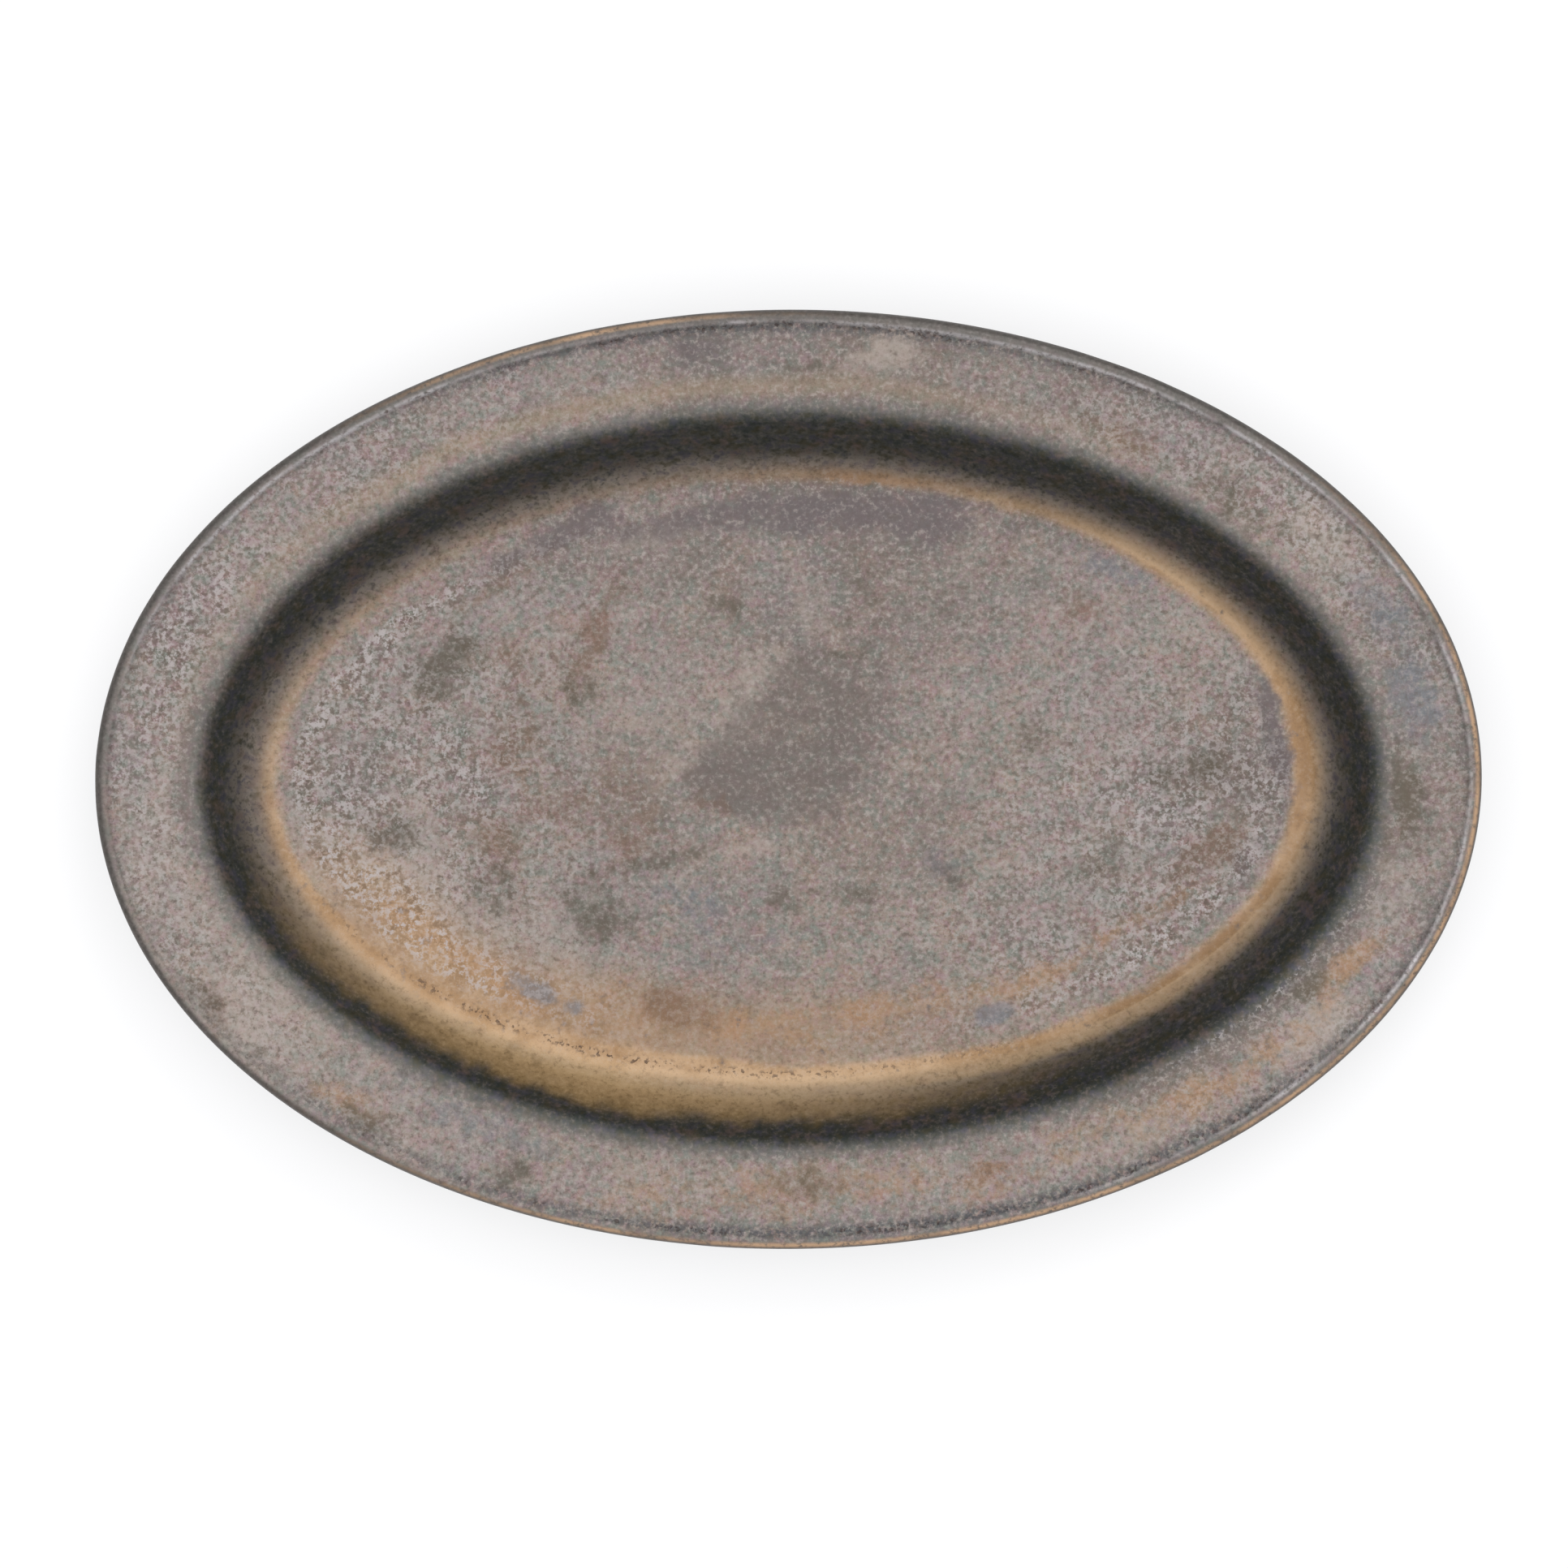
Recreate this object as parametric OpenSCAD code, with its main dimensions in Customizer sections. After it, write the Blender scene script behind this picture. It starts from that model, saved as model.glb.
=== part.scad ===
// Oval rim plate in bronze-glazed stoneware: a wide, nearly flat rim with a rounded lip,
// a shallow well with steep walls, and a bare foot ring to stand on.
// X runs along the plate, Y across it and Z up. The origin is on the table, under the plate's centre.
//
// Every section line below is a list of [inset, height] points. The inset is measured squarely
// inwards from the rim's edge, so the rim, the wall and the foot keep their width all the way round.

/* [Plate] */
// Length over the rim's edge, in mm
plate_l = 310; // [290:5:330]
// Width over the rim's edge
plate_w = 210; // [200:5:230]
// Height of the lip above the table
plate_h = 26; // [25:0.5:28]

/* [Rim] */
// Width from the edge to where the shoulder starts to bend
rim_w = 21; // [17:0.5:23]
// Slope of the rim's face, falling inwards, in degrees
rim_slope = 4; // [0:1:6]
// Slope of the rim's underside, so that the rim thickens towards the shoulder, in degrees
rim_back_slope = 8.5; // [7:0.5:10]
// Radius of the rounded lip
lip_r = 2; // [1.6:0.1:2.2]
// How far the lip stands above the rim's face
lip_rise = 0.6; // [0.2:0.1:0.9]
// Radius of the hollow just inside the lip
lip_hollow_r = 4; // [2:0.5:8]

/* [Well] */
// Steepness of the wall, in degrees
wall_angle = 54; // [48:1:60]
// Radius of the rounded shoulder
shoulder_r = 5.4; // [3:0.1:7]
// Radius of the hollow at the wall's foot
wall_foot_r = 12.4; // [9:0.1:14]
// Thickness of the wall and the floor, glaze included
wall_t = 5.4; // [4.5:0.1:6]
// Radius of the hollow under the rim, where the wall's back begins
knee_r = 5; // [3:0.5:7]

/* [Foot] */
// Inset of the foot ring's outer side from the rim's edge
foot_inset = 39; // [37:0.5:41]
// Width of the foot ring between its two sides
foot_w = 6; // [5:0.5:8]
// Rounding of the foot ring's two bare edges
foot_edge = 0.8; // [0.4:0.1:1]
// Height at which the glaze stops above the table
glaze_line = 1.5; // [1.2:0.1:1.6]
// Height of the recess's ceiling, inside the foot ring, above the table
recess_h = 3.1; // [2.9:0.1:4]
// Radius of the hollow between the foot ring and the recess's ceiling
recess_r = 1.2; // [0.5:0.1:1.2]

/* [Glaze] */
// Thickness of the glaze coats
glaze_t = 0.5; // [0.3:0.1:0.8]

/* [Hidden] */

// Steps round the oval, and steps along each round stretch of a section line
oval_steps = 72;
arc_steps = 4;

half_l = plate_l / 2;
half_w = plate_w / 2;

// The face, from the lip inwards. A slope's normal points up and inwards out of the face.
function along(slope) = [cos(slope), -sin(slope)];
function normal(slope) = [sin(slope), cos(slope)];

lip_centre = [lip_r, plate_h - lip_r];
rim_level = lip_r - lip_rise;
hollow_level = rim_level + lip_hollow_r;
hollow_run = sqrt(pow(lip_r + lip_hollow_r, 2) - pow(hollow_level, 2));
lip_hollow_centre = lip_centre + normal(rim_slope) * hollow_level + along(rim_slope) * hollow_run;
lip_hollow_angle = atan2(lip_hollow_centre.y - lip_centre.y, lip_hollow_centre.x - lip_centre.x);

rim_start = lip_centre + normal(rim_slope) * rim_level;
rim_end = rim_start + along(rim_slope) * (rim_w - rim_start.x) / cos(rim_slope);
shoulder_centre = rim_end - normal(rim_slope) * shoulder_r;
wall_top = shoulder_centre + normal(wall_angle) * shoulder_r;

floor_z = recess_h + wall_t;
wall_run = (wall_top.y - floor_z - wall_foot_r * (1 - cos(wall_angle))) / sin(wall_angle);
wall_foot_centre = wall_top + along(wall_angle) * wall_run + normal(wall_angle) * wall_foot_r;

// The underside. The belly is concentric with the wall's foot, so the wall turns into the floor
// at one thickness.
belly_r = wall_foot_r + wall_t;
foot_inner = foot_inset + foot_w;

// The centre of the hollow that touches both backs, the rim's and the wall's
rim_back_reach = -(lip_centre * normal(rim_back_slope)) + lip_r + knee_r;
wall_back_reach = -(wall_top * normal(wall_angle)) + wall_t + knee_r;
knee_turn = sin(wall_angle - rim_back_slope);
knee_centre = [
    (cos(rim_back_slope) * -wall_back_reach - cos(wall_angle) * -rim_back_reach) / knee_turn,
    (sin(wall_angle) * -rim_back_reach - sin(rim_back_slope) * -wall_back_reach) / knee_turn
];

// The inset and height of a round stretch, from one angle to another
function arc(centre, r, from, to, steps = arc_steps) =
    [for (i = [0:steps]) let (a = from + (to - from) * i / steps) centre + r * [cos(a), sin(a)]];

function reversed(line) = [for (i = [len(line) - 1:-1:0]) line[i]];
function without_first(line) = [for (i = [1:len(line) - 1]) line[i]];

// The face from the lip's outermost point to the floor's edge. "skin" is the depth below the
// glaze's surface: 0 for the glaze itself and glaze_t for the clay under it.
function face_line(skin) = concat(
    arc(lip_centre, lip_r - skin, 180, lip_hollow_angle),
    without_first(arc(lip_hollow_centre, lip_hollow_r + skin, lip_hollow_angle + 180, 270 - rim_slope, 2)),
    arc(shoulder_centre, shoulder_r - skin, 90 - rim_slope, 90 - wall_angle),
    arc(wall_foot_centre, wall_foot_r + skin, 270 - wall_angle, 270)
);

// Where the belly meets the foot ring's outer side
function belly_end(skin) = 180 + acos((wall_foot_centre.x - foot_inset - skin) / (belly_r - skin));

// The back from the lip's outermost point to the glaze line on the foot ring's outer side
function back_line(skin) = concat(
    arc(lip_centre, lip_r - skin, 180, 270 - rim_back_slope, 2),
    arc(knee_centre, knee_r + skin, 90 - rim_back_slope, 90 - wall_angle, 3),
    arc(wall_foot_centre, belly_r - skin, 270 - wall_angle, belly_end(skin), 3),
    [[foot_inset + skin, glaze_line]]
);

// The bare foot ring, between its two glaze lines
foot_line = [
    [foot_inset + glaze_t, foot_edge],
    [foot_inset + glaze_t + foot_edge, 0],
    [foot_inner - glaze_t - foot_edge, 0],
    [foot_inner - glaze_t, foot_edge]
];

// The recess inside the foot ring, from the glaze line to the recess's flat ceiling
function recess_line(skin) = concat(
    [[foot_inner - skin, glaze_line]],
    arc([foot_inner + recess_r, recess_h - recess_r], recess_r + skin, 180, 90, 2)
);

// A point of a section line, taken round the oval
function oval_point(p, step) =
    let (t = 360 * step / oval_steps,
         square = [half_w * cos(t), half_l * sin(t)],
         edge = [half_l * cos(t), half_w * sin(t)],
         xy = edge - square / norm(square) * p.x)
    [xy.x, xy.y, p.y];

// The two triangles between ring i and ring j of a swept skin, at one step round the oval
function band(i, j, step) =
    let (next = (step + 1) % oval_steps,
         a = i * oval_steps + step,
         b = i * oval_steps + next,
         c = j * oval_steps + step,
         d = j * oval_steps + next)
    [[a, b, c], [b, d, c]];

// A solid whose skin follows the line round the oval. The line starts on its upper flat face and
// ends on its lower one, and both are closed across the middle.
module capped_sweep(line) {
    rings = len(line);
    last = rings - 1;
    top = rings * oval_steps;
    points = concat(
        [for (p = line, step = [0:oval_steps - 1]) oval_point(p, step)],
        [[0, 0, line[0].y], [0, 0, line[last].y]]
    );
    skin = [for (i = [0:last - 1], step = [0:oval_steps - 1], tri = band(i, i + 1, step)) tri];
    caps = [
        for (step = [0:oval_steps - 1])
            let (next = (step + 1) % oval_steps)
            each [[top, next, step], [top + 1, last * oval_steps + step, last * oval_steps + next]]
    ];
    polyhedron(points, concat(skin, caps), convexity = 6);
}

// A closed band round the oval, whose section is the closed line
module ring_sweep(line) {
    rings = len(line);
    points = [for (p = line, step = [0:oval_steps - 1]) oval_point(p, step)];
    skin = [for (i = [0:rings - 1], step = [0:oval_steps - 1], tri = band(i, (i + 1) % rings, step)) tri];
    polyhedron(points, skin, convexity = 6);
}

// The fired clay: rim, wall, floor and foot ring in one
module stoneware_body() {
    color("#6f5645")
    capped_sweep(concat(
        reversed(face_line(glaze_t)),
        without_first(back_line(glaze_t)),
        foot_line,
        recess_line(glaze_t)
    ));
}

// The crystalline bronze glaze on everything that is seen from above
module face_glaze() {
    color("#8f7f75")
    capped_sweep(concat(reversed(face_line(0)), face_line(glaze_t)));
}

// The glaze under the rim and down the wall's back, as far as the foot ring
module back_glaze() {
    color("#5f4c3c")
    ring_sweep(concat(back_line(0), reversed(back_line(glaze_t))));
}

// The patch of glaze inside the foot ring
module recess_glaze() {
    color("#6b5a4c")
    capped_sweep(concat(reversed(recess_line(glaze_t)), recess_line(0)));
}

stoneware_body();
face_glaze();
back_glaze();
recess_glaze();
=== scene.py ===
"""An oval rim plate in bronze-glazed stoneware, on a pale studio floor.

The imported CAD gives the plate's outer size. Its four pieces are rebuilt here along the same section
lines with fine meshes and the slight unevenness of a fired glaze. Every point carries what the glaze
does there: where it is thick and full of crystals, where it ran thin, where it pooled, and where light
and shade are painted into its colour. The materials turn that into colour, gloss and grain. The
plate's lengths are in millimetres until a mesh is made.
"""

import bpy
import numpy as np
from mathutils import Matrix, Vector


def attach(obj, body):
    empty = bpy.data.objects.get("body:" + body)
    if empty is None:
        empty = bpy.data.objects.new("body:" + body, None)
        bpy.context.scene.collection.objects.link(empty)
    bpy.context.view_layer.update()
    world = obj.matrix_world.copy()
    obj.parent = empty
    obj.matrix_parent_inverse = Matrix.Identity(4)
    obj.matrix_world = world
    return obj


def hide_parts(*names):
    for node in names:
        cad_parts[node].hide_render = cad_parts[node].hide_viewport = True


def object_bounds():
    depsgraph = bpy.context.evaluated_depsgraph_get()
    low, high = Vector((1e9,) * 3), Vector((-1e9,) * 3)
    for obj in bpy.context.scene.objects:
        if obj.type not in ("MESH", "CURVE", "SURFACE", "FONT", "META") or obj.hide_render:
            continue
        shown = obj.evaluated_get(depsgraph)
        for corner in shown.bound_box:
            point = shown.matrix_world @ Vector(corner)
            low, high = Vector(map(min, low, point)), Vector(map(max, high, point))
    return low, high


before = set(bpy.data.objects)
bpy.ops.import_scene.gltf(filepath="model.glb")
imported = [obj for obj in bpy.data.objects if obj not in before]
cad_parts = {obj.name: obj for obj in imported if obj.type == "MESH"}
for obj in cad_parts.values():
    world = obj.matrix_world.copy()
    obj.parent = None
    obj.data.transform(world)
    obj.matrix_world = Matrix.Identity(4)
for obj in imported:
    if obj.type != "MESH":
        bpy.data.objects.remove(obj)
cad_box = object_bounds()

MM = 0.001

# --- The plate's section, as the CAD draws it ---------------------------------------------------

HALF_L, HALF_W, PLATE_H = (
    (cad_box[1].x - cad_box[0].x) / 2 / MM,
    (cad_box[1].y - cad_box[0].y) / 2 / MM,
    cad_box[1].z / MM,
)

RIM_W = 21
RIM_SLOPE = 4
RIM_BACK_SLOPE = 8.5
LIP_R = 2
LIP_RISE = 0.6
LIP_HOLLOW_R = 4
WALL_ANGLE = 54
SHOULDER_R = 5.4
WALL_FOOT_R = 12.4
WALL_T = 5.4
KNEE_R = 5
FOOT_INSET = 39
FOOT_W = 6
FOOT_EDGE = 0.8
GLAZE_LINE = 1.5
RECESS_H = 3.1
RECESS_R = 1.2
GLAZE_T = 0.5

FLOOR_Z = RECESS_H + WALL_T
FOOT_INNER = FOOT_INSET + FOOT_W
BELLY_R = WALL_FOOT_R + WALL_T

# --- Fineness of the meshes ---------------------------------------------------------------------

ROUND_STEPS = 400
# Steps along each stretch of a section line, where it shows and where another piece hides it
FACE_FINE = 5
BACK_FINE = 4
FOOT_FINE = 6
HIDDEN_FINE = 2
# The inset past which the face's rings shrink towards the plate's middle, and how many they are
FLOOR_EDGE = 46
FLOOR_RINGS = 62
RECESS_RINGS = 30
HIDDEN_RINGS = 3
# Edges that turn more than this many degrees stay sharp
SHARP_TURN = 50


def along(slope):
    """The way down a slope towards the plate's middle, as [inset, height]."""
    a = np.radians(slope)
    return np.array([np.cos(a), -np.sin(a)])


def normal(slope):
    """The way squarely out of a slope's face."""
    a = np.radians(slope)
    return np.array([np.sin(a), np.cos(a)])


def arc(centre, radius, start, end, steps):
    """The points of a round stretch, from one angle in degrees to another."""
    a = np.radians(np.linspace(start, end, steps + 1))
    return np.stack([centre[0] + radius * np.cos(a), centre[1] + radius * np.sin(a)], axis=1)


def straight(start, end, steps):
    """The points of a straight stretch."""
    return np.linspace(start, end, steps + 1)


def joined(*stretches):
    """Stretches end to end, without the points that they share."""
    line = np.concatenate(stretches)
    apart = np.linalg.norm(np.diff(line, axis=0), axis=1) > 1e-6
    return line[np.concatenate([[True], apart])]


lip_centre = np.array([LIP_R, PLATE_H - LIP_R])
rim_level = LIP_R - LIP_RISE
hollow_level = rim_level + LIP_HOLLOW_R
hollow_run = np.sqrt((LIP_R + LIP_HOLLOW_R) ** 2 - hollow_level**2)
lip_hollow_centre = lip_centre + normal(RIM_SLOPE) * hollow_level + along(RIM_SLOPE) * hollow_run
lip_hollow_angle = np.degrees(np.arctan2(*(lip_hollow_centre - lip_centre)[::-1]))
rim_top = lip_hollow_centre - normal(RIM_SLOPE) * LIP_HOLLOW_R
rim_start = lip_centre + normal(RIM_SLOPE) * rim_level
rim_end = rim_start + along(RIM_SLOPE) * (RIM_W - rim_start[0]) / np.cos(np.radians(RIM_SLOPE))
shoulder_centre = rim_end - normal(RIM_SLOPE) * SHOULDER_R
wall_top = shoulder_centre + normal(WALL_ANGLE) * SHOULDER_R
foot_turn = WALL_FOOT_R * (1 - np.cos(np.radians(WALL_ANGLE)))
wall_run = (wall_top[1] - FLOOR_Z - foot_turn) / np.sin(np.radians(WALL_ANGLE))
wall_end = wall_top + along(WALL_ANGLE) * wall_run
wall_foot_centre = wall_end + normal(WALL_ANGLE) * WALL_FOOT_R


def knee_point():
    """The centre of the hollow that touches both backs, the rim's and the wall's."""
    rim_reach = LIP_R + KNEE_R - lip_centre @ normal(RIM_BACK_SLOPE)
    wall_reach = WALL_T + KNEE_R - wall_top @ normal(WALL_ANGLE)
    sides = np.stack([normal(RIM_BACK_SLOPE), normal(WALL_ANGLE)])
    return np.linalg.solve(sides, [-rim_reach, -wall_reach])


knee_centre = knee_point()


def face_line(skin, fine):
    """The face from the lip's outermost point to the floor's edge, skin below the glaze's surface."""
    level = normal(RIM_SLOPE) * -skin
    return joined(
        arc(lip_centre, LIP_R - skin, 180, lip_hollow_angle, 4 * fine),
        arc(lip_hollow_centre, LIP_HOLLOW_R + skin, lip_hollow_angle + 180, 270 - RIM_SLOPE, 2 * fine),
        straight(rim_top + level, rim_end + level, 3 * fine),
        arc(shoulder_centre, SHOULDER_R - skin, 90 - RIM_SLOPE, 90 - WALL_ANGLE, 4 * fine),
        straight(
            wall_top - normal(WALL_ANGLE) * skin, wall_end - normal(WALL_ANGLE) * skin, 2 * fine
        ),
        arc(wall_foot_centre, WALL_FOOT_R + skin, 270 - WALL_ANGLE, 270, 6 * fine),
        straight([wall_foot_centre[0], FLOOR_Z - skin], [FLOOR_EDGE, FLOOR_Z - skin], 2 * fine),
    )


def back_line(skin, fine):
    """The back from the lip's outermost point to the glaze line on the foot ring's outer side."""
    belly_end = 180 + np.degrees(np.arccos((wall_foot_centre[0] - FOOT_INSET - skin) / (BELLY_R - skin)))
    lip = arc(lip_centre, LIP_R - skin, 180, 270 - RIM_BACK_SLOPE, 4 * fine)
    knee = arc(knee_centre, KNEE_R + skin, 90 - RIM_BACK_SLOPE, 90 - WALL_ANGLE, 3 * fine)
    belly = arc(wall_foot_centre, BELLY_R - skin, 270 - WALL_ANGLE, belly_end, 4 * fine)
    return joined(
        lip,
        straight(lip[-1], knee[0], 3 * fine),
        knee,
        straight(knee[-1], belly[0], 2 * fine),
        belly,
        straight(belly[-1], [FOOT_INSET + skin, GLAZE_LINE], 2 * fine),
    )


def recess_line(skin, fine):
    """The recess inside the foot ring, from the glaze line to its flat ceiling."""
    turn = arc([FOOT_INNER + RECESS_R, RECESS_H - RECESS_R], RECESS_R + skin, 180, 90, 2 * fine)
    return joined(straight([FOOT_INNER - skin, GLAZE_LINE], turn[0], fine), turn)


def foot_line(fine):
    """The bare foot ring between its two glaze lines."""
    outer, inner = FOOT_INSET + GLAZE_T, FOOT_INNER - GLAZE_T
    return joined(
        straight([outer, GLAZE_LINE], [outer, FOOT_EDGE], fine),
        arc([outer + FOOT_EDGE, FOOT_EDGE], FOOT_EDGE, 180, 270, 2 * fine),
        straight([outer + FOOT_EDGE, 0], [inner - FOOT_EDGE, 0], 2 * fine),
        arc([inner - FOOT_EDGE, FOOT_EDGE], FOOT_EDGE, 270, 360, 2 * fine),
        straight([inner, FOOT_EDGE], [inner, GLAZE_LINE], fine),
    )


# --- Smooth steps and smooth chance -------------------------------------------------------------


def ease(value, low, high):
    """0 at low and 1 at high, with a soft start and end. Low may be the larger of the two."""
    t = np.clip((value - low) / (high - low), 0, 1)
    return t * t * (3 - 2 * t)


def hump(value, middle, half_width):
    """1 at the middle, falling softly to 0 at half_width on either side."""
    return ease(np.abs(value - middle), half_width, 0)


def towards(angle, direction, spread):
    """1 where the plate faces that compass direction, falling softly to 0 at spread degrees off it."""
    off = (angle - direction + 180) % 360 - 180
    return ease(np.abs(off), spread, 0)


def wander(x, y, size, seed):
    """Smooth random swells from -1 to 1, about size mm across."""
    cells = 64
    lattice = np.random.default_rng(seed).uniform(-1, 1, (cells, cells))
    u, v = x / size + cells, y / size + cells
    i, j = np.floor(u).astype(int), np.floor(v).astype(int)
    s, t = ease(u - i, 0, 1), ease(v - j, 0, 1)
    at = lambda a, b: lattice[(i + a) % cells, (j + b) % cells]
    return (at(0, 0) * (1 - s) + at(1, 0) * s) * (1 - t) + (at(0, 1) * (1 - s) + at(1, 1) * s) * t


def rough_wander(x, y, size, seed):
    """Swells with smaller swells on them, from about -1 to 1."""
    return (
        wander(x, y, size, seed) * 0.6
        + wander(x, y, size / 2.1, seed + 1) * 0.3
        + wander(x, y, size / 4.3, seed + 2) * 0.15
    )


# --- Rings of points, and what is known at each -------------------------------------------------


FACE, BACK = 1, -1


class Rings:
    """Rings of points round the oval, in mm, with the way out of the surface at each."""

    def __init__(self, line, facing):
        """A line of [inset, height] points taken round, facing up as FACE or down as BACK."""
        turn = np.arange(ROUND_STEPS) * 2 * np.pi / ROUND_STEPS
        square = np.stack([HALF_W * np.cos(turn), HALF_L * np.sin(turn)], axis=1)
        self.out = square / np.linalg.norm(square, axis=1)[:, None]
        self.edge = np.stack([HALF_L * np.cos(turn), HALF_W * np.sin(turn)], axis=1)
        inset, height = line[:, 0, None], line[:, 1, None]
        self.x = self.edge[:, 0] - self.out[:, 0] * inset
        self.y = self.edge[:, 1] - self.out[:, 1] * inset
        self.z = height + 0 * self.x
        self.inset = inset + 0 * self.x
        run = np.gradient(line, axis=0)
        run /= np.linalg.norm(run, axis=1)[:, None]
        self.lean = -run[:, 1, None] * facing + 0 * self.x
        self.rise = run[:, 0, None] * facing + 0 * self.x
        self.angle = np.degrees(turn)[None] + 0 * self.x

    def shrink(self, rings):
        """Adds rings that shrink in even steps from the last one towards the plate's middle."""
        s = np.linspace(1, 0, rings + 1)[1:-1, None]
        reach = np.hypot(self.x[-1], self.y[-1])
        flat = np.ones_like(s) + 0 * self.x[-1]
        self.inset = np.concatenate([self.inset, self.inset[-1] + (1 - s) * reach])
        self.x = np.concatenate([self.x, s * self.x[-1]])
        self.y = np.concatenate([self.y, s * self.y[-1]])
        level = dict(z=self.z[-1], lean=0, rise=self.rise[-1], angle=self.angle[-1])
        for name, value in level.items():
            setattr(self, name, np.concatenate([getattr(self, name), flat * value]))
        return self

    def lifted(self, height):
        """The points as an array, each moved out of the surface by its height."""
        sideways = -self.lean * height
        x = self.x + self.out[:, 0] * sideways
        y = self.y + self.out[:, 1] * sideways
        return np.stack([x, y, self.z + self.rise * height], axis=2)


def closed_skin(name, rows, capped, masks):
    """A closed mesh over rows of points that go out along the bottom and come back along the top.

    A capped mesh is closed across the middle at both ends, and any other has its last row joined
    to its first. masks gives the values that the points carry, by name.
    """
    count, steps = rows.shape[:2]
    here = np.arange(count * steps).reshape(count, steps)
    if not capped:
        here = np.concatenate([here, here[:1]])
    ahead = np.roll(here, -1, axis=1)
    quads = np.stack([here[:-1], ahead[:-1], ahead[1:], here[1:]], axis=2).reshape(-1, 4)
    points = rows.reshape(-1, 3)
    faces = quads.tolist()
    if capped:
        first, last = len(points), len(points) + 1
        points = np.concatenate([points, rows[[0, -1]].mean(axis=1)])
        faces += [(first, b, a) for a, b in zip(here[0], ahead[0])]
        faces += [(a, b, last) for a, b in zip(here[-1], ahead[-1])]
    mesh = bpy.data.meshes.new(name)
    mesh.from_pydata((points * MM).tolist(), [], faces)
    for mask, values in masks.items():
        flat = values.reshape(-1)
        if capped:
            flat = np.concatenate([flat, values[[0, -1]].mean(axis=1)])
        mesh.attributes.new(mask, "FLOAT", "POINT").data.foreach_set("value", flat.astype(np.float32))
    mesh.shade_smooth()
    mesh.set_sharp_from_angle(angle=np.radians(SHARP_TURN))
    piece = bpy.data.objects.new(name, mesh)
    bpy.context.scene.collection.objects.link(piece)
    return piece


def flipped(values):
    """Rows of points or of mask values, in the other order."""
    return values[::-1]


def stacked(*parts):
    """Rows of points or of mask values, one part after another."""
    return np.concatenate(parts)


# --- Where the face's glaze does what, and where light and shade are painted on it --------------

# Directions round the plate, in degrees
RIGHT, TOP, LEFT, BOTTOM = 0, 90, 180, 270
UPPER_RIGHT, LOWER_LEFT, LOWER_RIGHT = 45, 225, 318

# Insets from the rim's edge, in mm, of the lines and bands that follow it
COPPER_LINE = 1
# The inset of the painted highlight along the lip's crest
CREST_HIGHLIGHT_LINE = 2.65
SLATE_LINE = 3.7
TAN_BAND = 16.5
RIM_RIME = 20.6
SHOULDER_BAND = 22
WELL_EDGE = 27
POOL_PITS = 37.9
FLOOR_RIME = 44.5

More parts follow.
